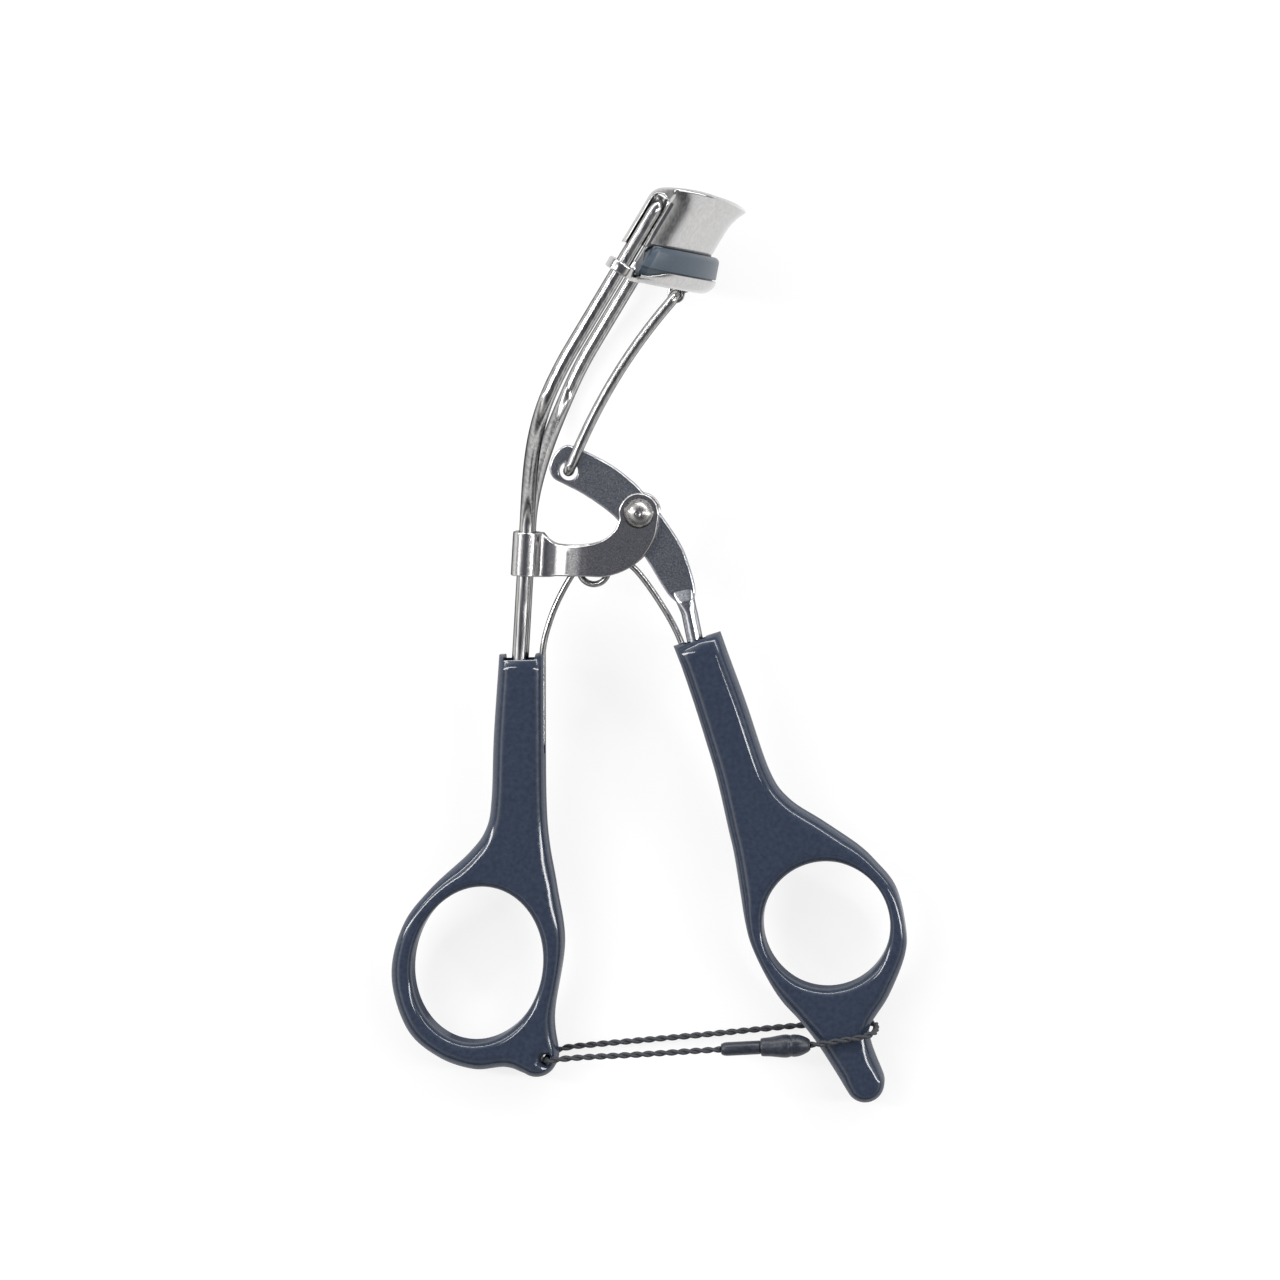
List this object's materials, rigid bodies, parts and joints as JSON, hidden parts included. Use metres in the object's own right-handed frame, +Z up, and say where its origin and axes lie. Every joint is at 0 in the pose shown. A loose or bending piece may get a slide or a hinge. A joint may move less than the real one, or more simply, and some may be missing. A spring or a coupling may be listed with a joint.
{
  "type": "eyelash curler",
  "caption": "Eyelash curler with chrome wire frame, arched jaws, lash pad, lever and push link, black plastic scissor handles and a cord that ties them closed.",
  "frame": {"origin": "middle of the tool's footprint on the table", "axes": "X across the handles, Y from the handles to the jaws, Z up from the table"},
  "size_m": [0.0827, 0.1467, 0.041],
  "materials": {
    "chrome": "bright nickel plate with fine streaks",
    "dark_steel": "nickel plate over a fine grain",
    "spring_steel": "plain drawn wire",
    "black_plastic": "polished moulding",
    "pad_rubber": "smooth soft rubber",
    "cord": "twisted cord",
    "lock_plastic": "fine moulded texture"
  },
  "bodies": {
    "frame": {"frame_wire_near": "chrome", "frame_wire_far": "chrome", "upper_jaw": "chrome", "pivot_bracket": "dark_steel", "pivot_rivet": "chrome", "pivot_washers": "spring_steel", "finger_handle": "black_plastic", "return_spring": "spring_steel", "tie_cord": "cord"},
    "lever": {"lever_arm": "dark_steel", "thumb_handle": "black_plastic", "lock_socket": "lock_plastic", "lock_plug": "lock_plastic"},
    "jaw": {"lower_jaw": "chrome", "lash_pad": "pad_rubber"},
    "link": {"push_link": "chrome"}
  },
  "joints": [
    {"name": "lever_hinge", "type": "hinge", "parent": "frame", "child": "lever", "pos_m": [-0.00135, 0.02015, 0.01611], "axis": [0, -0.1323, 0.9912], "range_deg": [0, 30], "deforming": ["return_spring", "tie_cord"]},
    {"name": "jaw_slide", "type": "slide", "parent": "frame", "child": "jaw", "axis": [-0.518, -0.8479, -0.1131], "range_m": [0, 0.0067]},
    {"name": "link_hinge", "type": "hinge", "parent": "jaw", "child": "link", "pos_m": [0.00445, 0.0545, 0.0207], "axis": [0, -0.1323, 0.9912], "range_deg": [0, 3]}
  ],
  "couplings": [
    {"joint": "jaw_slide", "follows": "lever_hinge", "m_per_rad": 0.0127},
    {"joint": "link_hinge", "follows": "lever_hinge", "ratio": 0.09}
  ]
}
